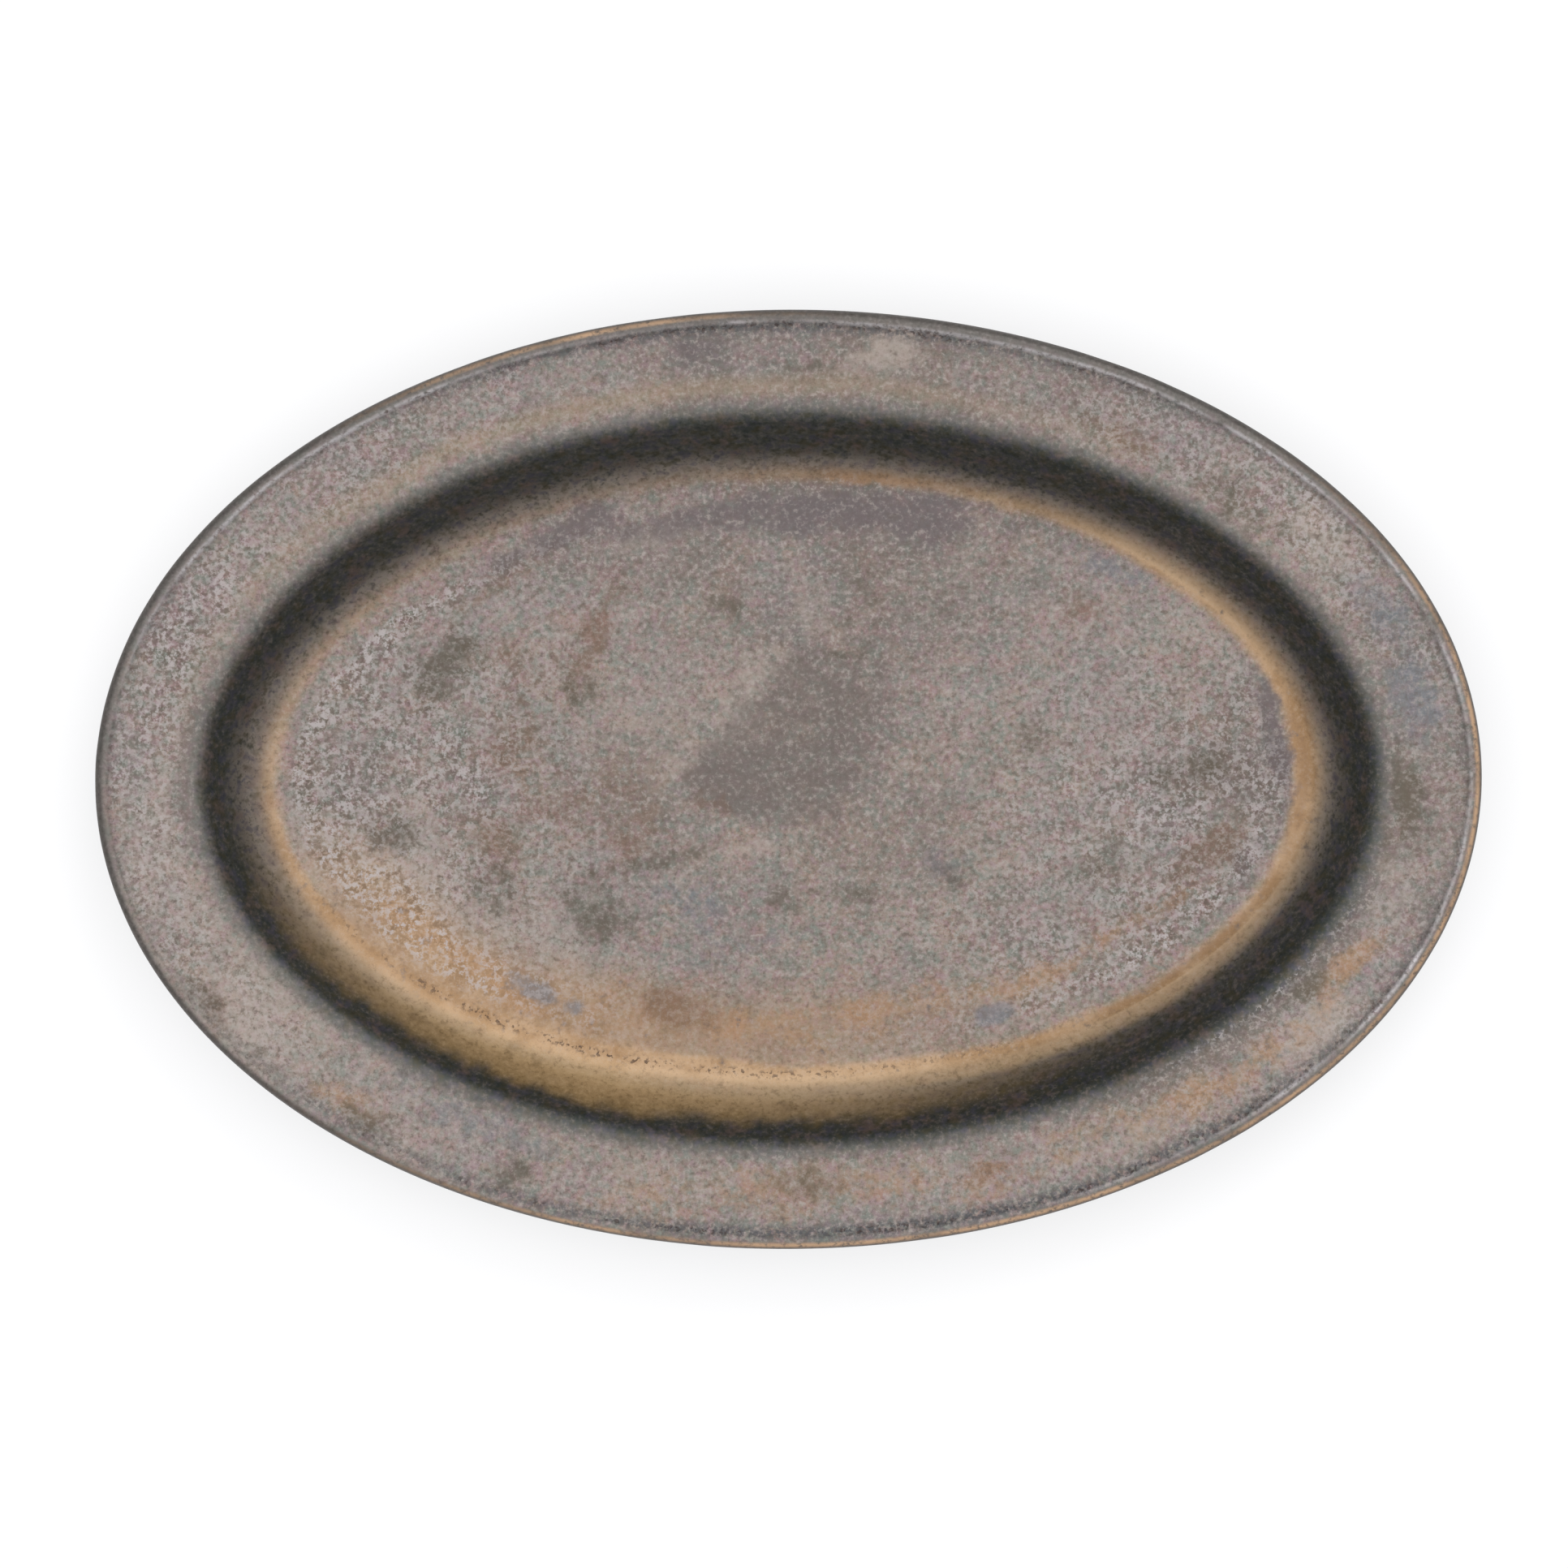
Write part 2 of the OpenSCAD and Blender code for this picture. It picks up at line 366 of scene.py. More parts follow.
# Marks left by the firing: kind, place across and up from the middle, half-length and half-width in
# mm, turn in degrees, and strength
MARKS = [
    # Dull greenish grey
    ("olive", -77, 27, 7, 5, 25, 0.75),
    ("olive", -82, 19, 5, 2.5, 60, 0.45),
    ("olive", -48, 20, 6, 4, 0, 0.55),
    ("olive", -13, 40, 5, 4, 0, 0.6),
    ("olive", -90, -12, 6, 4, 0, 0.65),
    ("olive", -67, -21, 6, 8, 20, 0.5),
    ("olive", -44, -28, 12, 6, -30, 0.45),
    ("olive", -42, -33, 7, 4, 0, 0.35),
    ("olive", -26, -18, 9, 1.5, 12, 0.6),
    ("olive", 0, -28, 6, 4, 0, 0.6),
    ("olive", 17, -27, 6, 4, 10, 0.6),
    ("olive", 38, -23, 5, 4, 0, 0.5),
    ("olive", 58, 9, 6, 4, 0, 0.5),
    ("olive", 92, 2, 8, 5, 20, 0.6),
    ("olive", 70, -18, 14, 8, 30, 0.4),
    ("olive", 17, 44, 7, 12, 0, 0.3),
    ("olive", 36, 37, 16, 6, 5, 0.3),
    ("olive", 138, -7, 5, 9, 5, 0.85),
    ("olive", 117, -46, 6, 3, 45, 0.7),
    ("olive", 101, 61, 9, 4, -35, 0.6),
    ("olive", 12, 28, 9, 1.3, 8, 0.5),
    ("olive", 8, 92, 5, 3, 0, 0.5),
    ("olive", 37, 94, 4, 3, 0, 0.5),
    ("olive", 5, -90, 7, 4, 0, 0.5),
    ("olive", -62, -88, 5, 4, 10, 0.75),
    ("olive", -94, -76, 7, 3, -28, 0.6),
    ("olive", -118, -61, 8, 2.5, -40, 0.5),
    ("olive", -130, -48, 7, 3.5, -55, 0.45),
    # Darker mauve
    ("mauve", -15, 59, 30, 4, 4, 0.7),
    ("mauve", 22, 59, 20, 4.5, -4, 0.75),
    ("mauve", 3, 59, 3, 3, 0, 0.9),
    ("mauve", -60, 52, 20, 3.5, 24, 0.6),
    ("mauve", 110, 9, 2.5, 11, 14, 0.8),
    ("mauve", 105, -18, 2.5, 8, -25, 0.5),
    ("mauve", -20, 96, 9, 3, 2, 0.6),
    # Brown
    ("umber", -44, 31, 12, 2.5, 62, 0.5),
    ("umber", -64, 45, 16, 2.5, 30, 0.45),
    ("umber", -63, 8, 8, 5, 30, 0.6),
    ("umber", -66, -15, 6, 5, 0, 0.75),
    ("umber", -69, 29, 9, 3, 5, 0.4),
    ("umber", -27, -53, 8, 4, -8, 0.85),
    ("umber", 66, 39, 5, 3, -30, 0.55),
    ("umber", 95, -17, 9, 3, 35, 0.75),
    ("umber", 78, 75, 8, 3, -25, 0.6),
    ("umber", 45, -87, 8, 4, 5, 0.4),
    ("umber", -128, -50, 8, 4, -55, 0.5),
    ("umber", -18, -5, 5, 4, -30, 0.45),
    ("umber", -58, 20, 18, 9, 50, 0.35),
    ("umber", -52, -8, 16, 8, -20, 0.35),
    ("umber", -35, -5, 7, 10, 0, 0.35),
    ("umber", 84, -28, 16, 8, 35, 0.35),
    ("umber", 98, 8, 6, 12, 10, 0.35),
    # Rusty tan
    ("rust", 125, -42, 8, 3.5, 45, 0.95),
    ("rust", 102, -65, 15, 3.5, 35, 0.65),
    ("rust", 70, -79, 20, 4, 22, 0.4),
    ("rust", 10, -91, 40, 5, 2, 0.45),
    ("rust", -99, -71, 8, 3, -35, 0.6),
    ("rust", 19, 69, 14, 2.5, -5, 0.8),
    ("rust", 72, -37, 20, 2.5, 30, 0.6),
    ("rust", 30, -50, 26, 3, 8, 0.4),
    ("rust", -30, -54, 30, 6, -6, 0.35),
    ("rust", 12, -57, 24, 5, 3, 0.35),
    ("rust", -74, -40, 24, 3.5, -31, 0.6),
    # Blue-grey
    ("blue", 140, 19, 5, 10, 15, 0.65),
    ("blue", 132, 38, 4, 9, 35, 0.5),
    ("blue", -22, -28, 7, 5, 0, 0.5),
    ("blue", -6, -38, 12, 4, 8, 0.35),
    ("blue", -57, -48, 6, 2.4, -30, 0.9),
    ("blue", -49, -52, 3, 2, 20, 0.9),
    ("blue", 46, -54, 4, 2, 12, 0.9),
    ("blue", 36, -21, 5, 4, 0, 0.5),
    ("blue", 75, 46, 12, 3, -25, 0.5),
    ("blue", -75, -74, 24, 4, -24, 0.45),
    # Pale
    ("pale", 24, 94, 9, 6, 5, 0.95),
    ("pale", -9, 19, 24, 5, 49, 0.4),
    ("pale", -28, 14, 14, 12, 0, 0.35),
    ("pale", 4, 42, 8, 7, 0, 0.3),
    ("pale", -8, -16, 12, 2, 8, 0.45),
    ("pale", -30, 55, 9, 2.5, 12, 0.5),
    ("pale", 121, 53, 10, 4, -42, 0.6),
    ("pale", 137, -26, 5, 8, -15, 0.5),
    ("pale", 117, -57, 10, 4.5, 40, 0.8),
    ("pale", 78, -80, 14, 3, 22, 0.5),
]

# The corners of the dull patch in the middle of the well, in order round it
ASH_CORNERS = [(-23, 1), (-18, -8), (11, -13), (21, 0), (23, 28), (3, 30)]


def mark(kind, x, y):
    """How strongly a kind of mark shows at each point."""
    clear = np.ones_like(x)
    ragged = rough_wander(x, y, 9, 40) * 0.8
    for name, mark_x, mark_y, half_l, half_w, turn, strength in MARKS:
        if name == kind:
            a = np.radians(turn)
            u = ((x - mark_x) * np.cos(a) + (y - mark_y) * np.sin(a)) / half_l
            v = ((y - mark_y) * np.cos(a) - (x - mark_x) * np.sin(a)) / half_w
            clear *= 1 - strength * ease(np.hypot(u, v) + ragged, 1.9, 0.1)
    return 1 - clear


def ash_patch(x, y):
    """The dull patch in the middle of the well: how far each point lies within its corners."""
    depth = np.full_like(x, 99)
    for here, ahead in zip(ASH_CORNERS, ASH_CORNERS[1:] + ASH_CORNERS[:1]):
        run = np.subtract(ahead, here)
        side = (run[0] * (y - here[1]) - run[1] * (x - here[0])) / np.hypot(*run)
        depth = np.minimum(depth, side)
    blur = 3.4 + 5 * ease(x, -6, 16)
    soft = ease((depth + rough_wander(x, y, 8, 45) * 3) / blur, -1, 1)
    return soft * (0.6 + 0.35 * ease(np.hypot(x + 17, y + 3), 16, 4))


def from_middle(x, y):
    """0 at the plate's middle and 1 at its edge."""
    return np.hypot(x / HALF_L, y / HALF_W)


def steepness(rings):
    """The slope of the surface in degrees."""
    return np.degrees(np.arctan2(np.abs(rings.lean), np.abs(rings.rise)))


def face_masks(rings):
    """What the face's glaze does at each point, and the light and shade painted on it, from 0 to 1."""
    x, y, inset, angle = rings.x, rings.y, rings.inset, rings.angle
    drift = rough_wander(x, y, 22, 11)
    ragged = rough_wander(x, y, 3, 15) * 0.7
    masks = dict(
        **pool_masks(inset, angle, drift, ragged, steepness(rings)),
        **crystal_masks(x, y, inset, angle, drift),
        **lip_masks(rings, drift),
    )
    # Painted light and shade on the level glaze, by side, with random swells
    masks["tone_and_shading"] = 0.5 + 0.2 * tone_and_shading(x, y, inset, angle)
    cool_side = 0.4 * towards(angle, 150, 60) * ease(inset, 20, 10)
    warmth = 0.5 - cool_side + 0.25 * towards(angle, BOTTOM, 75) + 0.5 * rough_wander(x, y, 30, 51)
    masks["warmth"] = np.clip(warmth, 0, 1)
    # Painted light and shade on the wall and the pool, by side
    masks["painted_light"] = 0.5 + 0.2 * wall_tone(inset, angle)
    masks["ash"] = ash_patch(x, y)
    for kind in ("olive", "mauve", "umber", "blue", "rust", "pale"):
        masks[kind] = mark(kind, x, y) * (1 - masks["bare"])
    # Few crystals grew on the dull marks
    for kind, share in (("olive", 0.5), ("mauve", 0.7), ("umber", 0.5), ("blue", 0.95), ("ash", 0.8)):
        masks["crystals"] *= 1 - share * masks[kind]
    return masks


def tone_and_shading(x, y, inset, angle):
    """How much paler the level glaze is painted than usual, from about 1 to -1: painted light on the lower
    left, painted shade on the right and the top, a darker middle and random swells.
    """
    # Painted light on the lower left, and painted shade on the right and the top
    sides = 0.5 * towards(angle, 212, 65)
    sides -= 0.6 * towards(angle, RIGHT, 42)
    sides -= 0.65 * towards(angle, TOP, 50)
    # The floor beside the pool, and a darker arc of it on the left
    sides += 0.3 * towards(angle, 215, 45) * ease(inset, 38, 44)
    sides -= 0.9 * towards(angle, LEFT, 30) * hump(inset, 60, 14)
    # Painted shade on the rim just outside the shoulder
    sides -= 1.2 * towards(angle, LOWER_RIGHT, 40) * hump(inset, 19, 5)
    sides -= 1.2 * towards(angle, LEFT, 30) * hump(inset, 20, 4)
    middle = ease(from_middle(x, y), 0.5, 0.15)
    return sides * ease(inset, 95, 45) - 0.4 * middle + 0.45 * rough_wander(x, y, 17, 53)


def wall_tone(inset, angle):
    """How much paler the wall and the pool are painted than usual, from about 1 to -1: painted light and
    shade by side.
    """
    upper_right, lower_right = towards(angle, UPPER_RIGHT, 35), towards(angle, LOWER_RIGHT, 35)
    bottom, right = towards(angle, BOTTOM, 35), towards(angle, RIGHT, 30)
    wall = 0.6 * towards(angle, 100, 80) - 0.5 * towards(angle, 290, 90)
    pool = 0.35 * bottom - 1.1 * right - 0.4 * towards(angle, LOWER_LEFT, 35)
    # Painted light on the pool where it climbs the wall, and painted shade in the hollow next to that
    by_wall = ease(inset, 37.9, 36.2)
    pool += by_wall * (upper_right + 0.7 * bottom + 2 * right)
    pool += 1.9 * ease(inset, 36, 34.6) * lower_right
    pool -= 1.1 * hump(inset, 36.9, 1.7) * lower_right
    pool -= 1.1 * hump(inset, 36.2, 1.7) * right
    pool *= ease(inset, 31, 34) * ease(inset, 41, 38)
    # Darker on the floor past the pool, at the bottom
    outflow = 1.3 * ease(inset, 39, 44) * towards(angle, BOTTOM, 60)
    return wall * ease(inset, 34, 31) + pool - outflow


def pool_masks(inset, angle, drift, ragged, steep):
    """Where the glaze ran thin, darkened partly as painted shade, where light is painted at the wall's
    foot, and where it pooled and turned golden.
    """
    in_well = ease(inset, WELL_EDGE - 3, WELL_EDGE)
    ring_sides = towards(angle, UPPER_RIGHT, 38) + towards(angle, 315, 38) + 0.6 * towards(angle, RIGHT, 38)
    rich_side = towards(angle, 248, 64)

    # Bare of crystals, and darkened partly by thin glaze and partly as painted shade: from the shoulder,
    # and down the wall for as long as it is steep
    shift = 1.4 * towards(angle, 320, 55) - 1.6 * towards(angle, 160, 75)
    over_shoulder = ease(inset + drift * 0.5 + ragged + shift, 19, 24.5)
    down_wall = ease(steep + drift * 3 - 9 * ring_sides, 16, 52)

    # Ochre on the wall, and the browner, paler wall above its foot
    lit_wall = rich_side * ease(inset + drift * 1.2 + ragged * 2, 26.4, 29.6)
    lit_wall = np.maximum(lit_wall, towards(angle, 300, 60) * ease(inset + drift, 31, 34))
    foot_reach = np.maximum(1.5 * towards(angle, LEFT, 60), 0.8 * towards(angle, RIGHT, 45))
    # Painted light at the bottom: the paler foot reaches further up the wall there, against the hollow's
    # shade
    foot_reach += 1.3 * rich_side + 0.9 * towards(angle, BOTTOM, 35)

    # The pool along the wall's foot, between its outer and its inner edge
    pool_start = 31 - 2 * ring_sides
    pool_end = 39 + 1.8 * towards(angle, LEFT, 60) + 3 * towards(angle, RIGHT, 45)
    pool_end += 0.8 * (towards(angle, UPPER_RIGHT, 30) + towards(angle, LOWER_RIGHT, 30))
    pool_end += 4.2 * towards(angle, 252, 62) - 0.5 * towards(angle, TOP, 50)
    pool = ease(inset + drift * 0.5, pool_start, 36.5)
    pool *= ease(inset + drift * 0.8 + ragged, pool_end, pool_end - 3.5)
    pool *= 1 - 0.6 * towards(angle, 128, 90)

    # The golden wash that it left on the floor
    outflow = ease(inset + drift * 3 + ragged, 64, 46) * ease(inset, 33, 37)
    outflow *= 0.7 * rich_side + 0.35 * towards(angle, 222, 40)
    return dict(
        bare=np.where(inset < WELL_EDGE, over_shoulder, down_wall),
        lit_wall=lit_wall * in_well,
        wall_foot=ease(inset + drift * 0.8 + foot_reach, 28.5, 34.5),
        gold=np.clip(np.maximum(pool, outflow) * in_well, 0, 1),
        shoulder=hump(inset + drift * 0.5, SHOULDER_BAND, 3),
    )


def crystal_masks(x, y, inset, angle, drift):
    """Where the glaze lay thick and level enough for pale crystals to grow."""
    rim_crystals = 0.4 + 0.45 * np.maximum(towards(angle, 165, 70), towards(angle, 40, 45) * 0.9)
    rim_crystals *= 1 - 0.45 * towards(angle, BOTTOM, 60) - 0.75 * towards(angle, 85, 45)
    rim_crystals *= ease(inset, 2, 5.5) * ease(inset, 20.5, 15.5)
    ends = np.maximum(towards(angle, LEFT, 85), towards(angle, 345, 85))
    floor_crystals = 0.12 + 0.86 * ease(from_middle(x, y), 0.2, 0.5) * ends
    floor_crystals *= ease(inset, 40, 43)
    crystals = rim_crystals + floor_crystals
    crystals *= np.clip(0.85 + 0.5 * rough_wander(x, y, 9, 21), 0.2, 1.2)

    # Rime, the densest crystals: round the floor's edge, on the golden wash, and by the shoulder
    rime_sides = np.maximum(towards(angle, 155, 60), 0.7 * towards(angle, 320, 45))
    edge_rime = hump(inset + drift, FLOOR_RIME, 4) * rime_sides
    wash_rime = 0.65 * hump(inset + drift * 3, FLOOR_RIME + 3.5, 11) * towards(angle, 218, 48)
    shoulder_rime = hump(inset + drift * 0.7, RIM_RIME, 1.4) * towards(angle, 322, 30)
    return dict(
        crystals=np.clip(crystals, 0, 1),
        rime=np.maximum(np.maximum(edge_rime, wash_rime), shoulder_rime),
        tan=hump(inset + drift * 1.2, TAN_BAND, 4) * (0.1 + 0.8 * towards(angle, 108, 72)),
    )


def lip_masks(rings, drift):
    """The thin lines along the lip, one of them a painted highlight, and the rows of pinholes."""
    inset, angle = rings.inset, rings.angle
    edge_x, edge_y = rings.edge[:, 0], rings.edge[:, 1]
    copper_sides = 1.2 * towards(angle, RIGHT, 50) + 1.6 * towards(angle, 285, 70) + towards(angle, 108, 26)
    copper_sides = np.clip(copper_sides * (0.75 + 0.6 * rough_wander(edge_x, edge_y, 7, 31)), 0, 1)
    # The pale line along the lip's crest is a painted highlight, stronger on some sides
    crest_sides = 1.3 * towards(angle, UPPER_RIGHT, 50) + 1.6 * towards(angle, 138, 36)
    crest_sides += towards(angle, 335, 60) + 0.6 * towards(angle, TOP, 30)
    crest_sides = np.clip(crest_sides * (0.7 + 0.9 * rough_wander(edge_x, edge_y, 9, 33)), 0, 1)
    slate_sides = 0.3 + 0.7 * np.maximum(0.8 * towards(angle, TOP, 55), towards(angle, 283, 80))
    # How far in the lip is dark, partly thin glaze and partly painted shade on its outward-facing side
    dark_reach = 2.5 - 1.2 * np.maximum(towards(angle, RIGHT, 55), towards(angle, 258, 85))
    lip_pits = hump(inset + drift * 0.6, SLATE_LINE, 1.5) * slate_sides
    foot_pits = hump(inset + drift * 0.5, POOL_PITS, 1.6) * towards(angle, 250, 70)
    return dict(
        copper=hump(inset, COPPER_LINE, 0.85) * copper_sides,
        lip_dark=ease(inset + drift * 0.3, dark_reach + 0.9, dark_reach - 1.1),
        crest_highlight=hump(inset + drift * 0.4, CREST_HIGHLIGHT_LINE, 0.85) * crest_sides,
        slate=hump(inset + drift * 0.6, SLATE_LINE, 3.2) * slate_sides,
        pits=np.maximum(lip_pits, foot_pits),
    )


def face_relief(rings):
    """How far the fired glaze stands off its ideal surface, in mm."""
    x, y, inset = rings.x, rings.y, rings.inset
    edge_x, edge_y = rings.edge[:, 0], rings.edge[:, 1]
    swell = 0.11 * wander(x, y, 34, 61) + 0.045 * wander(x, y, 12, 62) + 0.015 * wander(x, y, 5, 63)
    runs = 0.07 * wander(edge_x, edge_y, 7, 64)
    lip = 0.1 * wander(edge_x, edge_y, 45, 65) + 0.035 * wander(edge_x, edge_y, 6, 66)
    return swell * ease(inset, 4, 12) + runs * hump(inset, 30, 8) + lip * ease(inset, 6, 2)


# --- Materials ----------------------------------------------------------------------------------

# Under the studio's light a level patch of glaze shows its base colour times a gain, plus a clear gloss
GLAZE_GAIN = 1.95
GLAZE_GLOSS = 0.03
DARKEST_BASE = 0.004

# How deep the surface's bumps are, in mm
GLAZE_BUMP = 0.05
CLAY_BUMP = 0.12


def linear(red, green, blue):
    """An sRGB colour, from 0 to 255, as linear light."""
    c = np.array([red, green, blue]) / 255
    return np.where(c <= 0.04045, c / 12.92, ((c + 0.055) / 1.055) ** 2.4)


def paint(red, green, blue):
    """The base colour of glaze that is to look like this sRGB colour where it lies level."""
    base = np.maximum((linear(red, green, blue) - GLAZE_GLOSS) / GLAZE_GAIN, DARKEST_BASE)
    return (*base, 1)


def earth(red, green, blue):
    """The base colour of unglazed clay."""
    return (*linear(red, green, blue), 1)


class Tree:
    """A material's node tree. Each method adds a node and gives the socket to use next."""

    def __init__(self, name):
        self.material = bpy.data.materials.new(name)
        self.material.use_nodes = True
        self.nodes = self.material.node_tree.nodes
        self.links = self.material.node_tree.links
        self.shader = self.nodes["Principled BSDF"]
        # Places on the object, in mm
        metres = self.node("ShaderNodeTexCoord", {}).outputs["Object"]
        place = self.node("ShaderNodeVectorMath", {0: metres, "Scale": 1 / MM}, operation="SCALE")
        self.place = place.outputs[0]

    def node(self, kind, feeds, **settings):
        """A new node with its settings, and with each named input fed from a socket or a value."""
        made = self.nodes.new(kind)
        for name, value in settings.items():
            setattr(made, name, value)
        for name, value in feeds.items():
            self.feed(value, made.inputs[name])
        return made

    def feed(self, value, socket):
        """Links a socket into another, or sets it to a value."""
        if isinstance(value, bpy.types.NodeSocket):
            self.links.new(value, socket)
        else:
            socket.default_value = value

    def mask(self, name):
        """A value that the mesh's points carry."""
        return self.node("ShaderNodeAttribute", {}, attribute_name=name).outputs["Fac"]

    def noise(self, size, detail=2.0, roughness=0.5):
        """Smooth chance from 0 to 1, about size mm across."""
        feeds = {"Vector": self.place, "Scale": 1 / size, "Detail": detail, "Roughness": roughness}
        return self.node("ShaderNodeTexNoise", feeds).outputs["Fac"]

    def cells(self, size):
        """The distance to the nearest of many scattered points, and a random shade for each."""
        made = self.node("ShaderNodeTexVoronoi", {"Vector": self.place, "Scale": 1 / size})
        shade = self.node("ShaderNodeSeparateColor", {0: made.outputs["Color"]}).outputs["Red"]
        return made.outputs["Distance"], shade

    def math(self, operation, a, b):
        return self.node("ShaderNodeMath", {0: a, 1: b}, operation=operation).outputs[0]

    def times(self, *values):
        product = values[0]
        for value in values[1:]:
            product = self.math("MULTIPLY", product, value)
        return product

    def plus(self, a, b):
        return self.math("ADD", a, b)

    def spread(self, value, low, high, to_low=0.0, to_high=1.0):
        """Soft steps from to_low at low to to_high at high."""
        feeds = {"Value": value, "From Min": low, "From Max": high, "To Min": to_low, "To Max": to_high}
        return self.node("ShaderNodeMapRange", feeds, interpolation_type="SMOOTHSTEP").outputs["Result"]

    def patchy(self, mask, noise):
        """The mask broken into patches by a noise, so that its edge is ragged."""
        return self.spread(self.plus(mask, self.times(self.plus(noise, -0.5), 1.6)), 0.12, 0.8)

    def mix(self, share, a, b):
        """Colour a with that share of colour b in it."""
        return self.node("ShaderNodeMix", {0: share, 6: a, 7: b}, data_type="RGBA").outputs[2]

    def grainy(self, colour, noise, share, dark, pale):
        """The colour darkened where the noise is low and lightened where it is high."""
        colour = self.mix(self.times(self.spread(noise, 0.5, 0.3), share), colour, dark)
        return self.mix(self.times(self.spread(noise, 0.5, 0.7), share), colour, pale)

    def bump(self, height, depth):
        """Bumps of that depth in mm."""
        return self.node("ShaderNodeBump", {"Height": height, "Distance": depth * MM}).outputs["Normal"]

    def finish(self, colour, roughness, normal, metallic):
        """Feeds the shader and gives the finished material."""
        self.links.new(colour, self.shader.inputs["Base Color"])
        self.links.new(roughness, self.shader.inputs["Roughness"])
        self.links.new(normal, self.shader.inputs["Normal"])
        self.shader.inputs["Metallic"].default_value = metallic
        return self.material


def level_glaze(t):
    """The glaze where it lies level: mauve-grey where it is cool and brown-grey where it is warm, with
    painted light and shade by side.
    """
    warm = t.plus(t.times(t.mask("warmth"), 0.5), t.spread(t.noise(15, 3, 0.6), 0.35, 0.65, 0.0, 0.5))
    colour = t.mix(warm, paint(138, 130, 131), paint(150, 134, 122))
    colour = t.grainy(colour, t.noise(8, 3, 0.6), 0.7, paint(124, 122, 112), paint(156, 134, 120))
    colour = t.grainy(colour, t.noise(5.2, 3, 0.6), 0.42, paint(110, 103, 97), paint(168, 157, 149))
    colour = t.grainy(colour, t.noise(3.4, 2, 0.6), 0.7, paint(124, 130, 122), paint(156, 126, 124))
    colour = t.grainy(colour, t.noise(1.7, 1, 0.5), 0.4, paint(126, 134, 126), paint(150, 130, 140))
    # Painted light and shade by side, and random swells paler or darker
    return t.grainy(colour, t.mask("tone_and_shading"), 0.6, paint(104, 96, 92), paint(182, 168, 158))


def fired_marks(t, colour):
    """The marks that the firing left, each broken up like the glaze round it."""
    ragged = t.noise(3.2, 4, 0.65)
    for kind, share, shown in (
        ("pale", 0.62, paint(174, 161, 151)),
        ("rust", 0.66, paint(170, 132, 98)),
        ("ash", 0.75, paint(108, 100, 96)),
        ("blue", 0.7, paint(114, 118, 126)),
        ("umber", 0.66, paint(116, 90, 72)),
        ("mauve", 0.78, paint(106, 97, 99)),
        ("olive", 0.8, paint(92, 86, 75)),
    ):
        colour = t.mix(t.times(t.patchy(t.mask(kind), ragged), share), colour, shown)
    return colour


def rim_lines(t, colour):
    """The tan band, the slate band and the pale line that follow the rim, the pale line being a painted
    highlight on the lip's crest.
    """
    colour = t.mix(t.times(t.mask("tan"), 0.55), colour, paint(160, 138, 112))
    colour = t.mix(t.times(t.mask("shoulder"), 0.5), colour, paint(108, 109, 106))
    slate = t.times(t.mask("slate"), t.spread(t.noise(1.4, 3, 0.72), 0.33, 0.58))
    colour = t.mix(slate, colour, paint(84, 85, 88))
    # A painted highlight along the lip's crest
    crest_highlight = t.times(t.mask("crest_highlight"), t.spread(t.noise(1.3, 3, 0.7), 0.3, 0.55))
    return t.mix(crest_highlight, colour, paint(208, 203, 205))


def wall_glaze(t, fine):
    """The glaze on the steep wall: nearly black, partly thin glaze and partly painted shade; browner and
    paler at its foot, partly painted light; ochre where it ran rich.
    """
    # Painted light and shade by side on the nearly black wall
    wall = t.grainy(paint(86, 87, 83), t.mask("painted_light"), 0.5, paint(66, 66, 62), paint(116, 116, 112))
    # Paler towards the foot: browner glaze, partly painted light
    wall = t.mix(t.mask("wall_foot"), wall, paint(160, 149, 139))
    wall = t.grainy(wall, fine, 0.6, paint(60, 60, 56), paint(132, 126, 120))
    wall = t.grainy(wall, t.noise(5, 3, 0.65), 0.6, paint(68, 76, 74), paint(124, 104, 98))
    wall = t.grainy(wall, t.noise(2.4, 2, 0.6), 0.6, paint(86, 82, 64), paint(92, 90, 103))
    # The ochre paler towards the foot, partly as painted light
    ochre = t.mix(t.mask("wall_foot"), paint(176, 147, 104), paint(218, 184, 138))
    ochre = t.grainy(ochre, fine, 0.45, paint(130, 104, 74), paint(232, 200, 156))
    ochre = t.grainy(ochre, t.noise(6, 4, 0.65), 0.4, paint(124, 98, 66), paint(220, 188, 146))
    return t.mix(t.mask("lit_wall"), wall, ochre)


def lip_glaze(t, colour):
    """The lip, dark where the glaze broke thin and as painted shade where it faces outwards, with a copper
    line along its top.
    """
    grain = t.noise(0.9, 3, 0.7)
    thin = t.grainy(paint(108, 104, 100), grain, 0.6, paint(80, 78, 76), paint(140, 134, 132))
    # The dark lip, partly thin glaze and partly painted shade
    colour = t.mix(t.times(t.mask("lip_dark"), 0.85), colour, thin)
    copper = t.times(t.mask("copper"), t.spread(t.noise(1.2, 3, 0.7), 0.25, 0.55))
    return t.mix(copper, colour, paint(238, 198, 162))


def pool_glaze(t, fine):
    """The amber glaze that pooled at the wall's foot and washed over the floor, with painted light and
    shade by side.
    """
    amber = t.mix(t.spread(t.noise(11, 3, 0.6), 0.4, 0.62), paint(164, 131, 97), paint(184, 153, 121))
    amber = t.grainy(amber, fine, 0.34, paint(126, 98, 74), paint(208, 178, 146))
    # Painted light and shade by side
    return t.grainy(amber, t.mask("painted_light"), 0.5, paint(138, 108, 82), paint(214, 184, 150))


